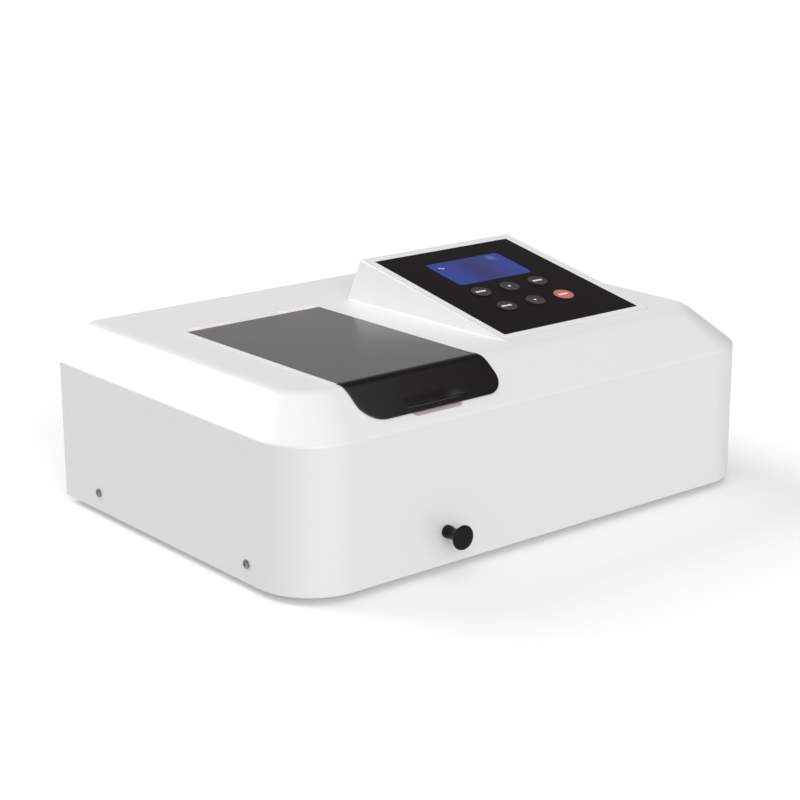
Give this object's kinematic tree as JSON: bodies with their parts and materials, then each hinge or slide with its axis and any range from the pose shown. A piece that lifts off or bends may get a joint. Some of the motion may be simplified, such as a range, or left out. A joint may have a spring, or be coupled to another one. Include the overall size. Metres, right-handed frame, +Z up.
{
  "type": "spectrophotometer",
  "caption": "Benchtop spectrophotometer: white case with a dark hinged lid over the cell compartment, a sloping key and display console, and a pull rod that shifts the cell carriage.",
  "frame": {"origin": "middle of the bounding box's footprint, on the surface that the feet stand on", "axes": "+X along the front to the right, +Y from the front to the back, +Z up"},
  "size_m": [0.4644, 0.3286, 0.1757],
  "materials": {
    "case_white": "satin white moulding",
    "bezel_white": "satin white moulding",
    "painted_grey": "light grey powder coat",
    "rubber_black": "matte",
    "screw_chrome": "polished",
    "panel_black": "black film, low gloss",
    "display_blue": "blue lit display behind clear film",
    "board_green": "solder mask",
    "key_grey": "satin grey",
    "key_red": "satin red",
    "brass": "plated",
    "cable_grey": "satin",
    "lid_smoke": "gloss smoke-black moulding",
    "steel": "satin",
    "chamber_black": "matte black, light-absorbing",
    "lens_glass": "clear",
    "carriage_grey": "dark anodised",
    "knob_black": "satin black",
    "bushing_plastic": "natural acetal",
    "cast_aluminium": "cast and machined",
    "optic_black": "black anodised",
    "mirror_coat": "front-surface coating",
    "motor_grey": "satin",
    "sheet_steel": "plated sheet",
    "socket_ceramic": "unglazed",
    "winding_amber": "varnished tape",
    "fitting_black": "satin black",
    "contact_metal": "plated"
  },
  "bodies": {
    "root": {"top_cover": "case_white", "panel_bezel": "bezel_white", "base_plate": "painted_grey", "rear_panel": "painted_grey", "rubber_feet": "rubber_black", "foot_screws": "screw_chrome", "cover_screws": "screw_chrome", "rear_screws": "screw_chrome", "key_panel": "panel_black", "display_window": "display_blue", "display_module": "board_green", "key_board": "board_green", "control_board": "board_green", "board_standoffs": "brass", "photodiode": "brass", "ribbon_cable": "cable_grey", "lid_hinge_pins": "steel", "lid_hinge_brackets": "steel", "guide_rods": "steel", "detent_ball": "steel", "detent_spring": "steel", "fan_guard": "steel", "sample_chamber": "chamber_black", "beam_windows": "lens_glass", "condenser_lens": "lens_glass", "halogen_lamp": "lens_glass", "rod_bushing": "bushing_plastic", "monochromator_base": "cast_aluminium", "monochromator_cover": "cast_aluminium", "mirror_mounts": "cast_aluminium", "slit_plates": "optic_black", "detector_housing": "optic_black", "collimating_mirror": "mirror_coat", "focusing_mirror": "mirror_coat", "grating_motor": "motor_grey", "lamp_shield": "sheet_steel", "power_supply": "sheet_steel", "lamp_socket": "socket_ceramic", "transformer": "winding_amber", "mains_inlet": "fitting_black", "fuse_holder": "fitting_black", "power_switch": "fitting_black", "fan_frame": "fitting_black", "inlet_pins": "contact_metal", "data_port": "contact_metal"},
    "lid": {"sample_lid": "lid_smoke"},
    "carriage": {"pull_rod": "steel", "pull_knob": "knob_black", "cell_carriage": "carriage_grey"},
    "mode_button": {"mode_key": "key_grey"},
    "up_button": {"up_key": "key_grey"},
    "zero_button": {"zero_key": "key_grey"},
    "print_button": {"print_key": "key_grey"},
    "down_button": {"down_key": "key_grey"},
    "enter_button": {"enter_key": "key_red"},
    "rocker": {"power_rocker": "fitting_black"},
    "rotor": {"fan_rotor": "fitting_black"},
    "turntable": {"grating_table": "cast_aluminium", "grating": "mirror_coat"},
    "pinion": {"motor_pinion": "brass"}
  },
  "joints": [
    {"name": "lid_hinge", "type": "hinge", "parent": "root", "child": "lid", "pos_m": [-0.0998, 0.0875, 0.143], "axis": [-1, 0, 0], "range_deg": [0, 95]},
    {"name": "rod_slide", "type": "slide", "parent": "root", "child": "carriage", "axis": [0, -1, 0], "range_m": [0, 0.045]},
    {"name": "mode_press", "type": "slide", "parent": "root", "child": "mode_button", "axis": [0, 0.1874, -0.9823], "range_m": [0, 0.0008], "stiffness_N_per_m": 300, "springref_m": -0.002},
    {"name": "up_press", "type": "slide", "parent": "root", "child": "up_button", "axis": [0, 0.1874, -0.9823], "range_m": [0, 0.0008], "stiffness_N_per_m": 300, "springref_m": -0.002},
    {"name": "zero_press", "type": "slide", "parent": "root", "child": "zero_button", "axis": [0, 0.1874, -0.9823], "range_m": [0, 0.0008], "stiffness_N_per_m": 300, "springref_m": -0.002},
    {"name": "print_press", "type": "slide", "parent": "root", "child": "print_button", "axis": [0, 0.1874, -0.9823], "range_m": [0, 0.0008], "stiffness_N_per_m": 300, "springref_m": -0.002},
    {"name": "down_press", "type": "slide", "parent": "root", "child": "down_button", "axis": [0, 0.1874, -0.9823], "range_m": [0, 0.0008], "stiffness_N_per_m": 300, "springref_m": -0.002},
    {"name": "enter_press", "type": "slide", "parent": "root", "child": "enter_button", "axis": [0, 0.1874, -0.9823], "range_m": [0, 0.0008], "stiffness_N_per_m": 300, "springref_m": -0.002},
    {"name": "rocker_tilt", "type": "hinge", "parent": "root", "child": "rocker", "pos_m": [-0.132, 0.1588, 0.042], "axis": [-1, 0, 0], "range_deg": [0, 20]},
    {"name": "fan_spin", "type": "hinge", "parent": "root", "child": "rotor", "pos_m": [0.1, 0.1503, 0.066], "axis": [0, 1, 0], "continuous": true},
    {"name": "grating_turn", "type": "hinge", "parent": "root", "child": "turntable", "pos_m": [0.035, 0.0453, 0.057], "axis": [0, 0, 1], "range_deg": [-15, 15]},
    {"name": "pinion_spin", "type": "hinge", "parent": "root", "child": "pinion", "pos_m": [0.035, 0.08145, 0.043], "axis": [0, 0, 1], "range_deg": [-110, 110]}
  ],
  "couplings": [
    {"joint": "pinion_spin", "follows": "grating_turn", "ratio": -5}
  ]
}
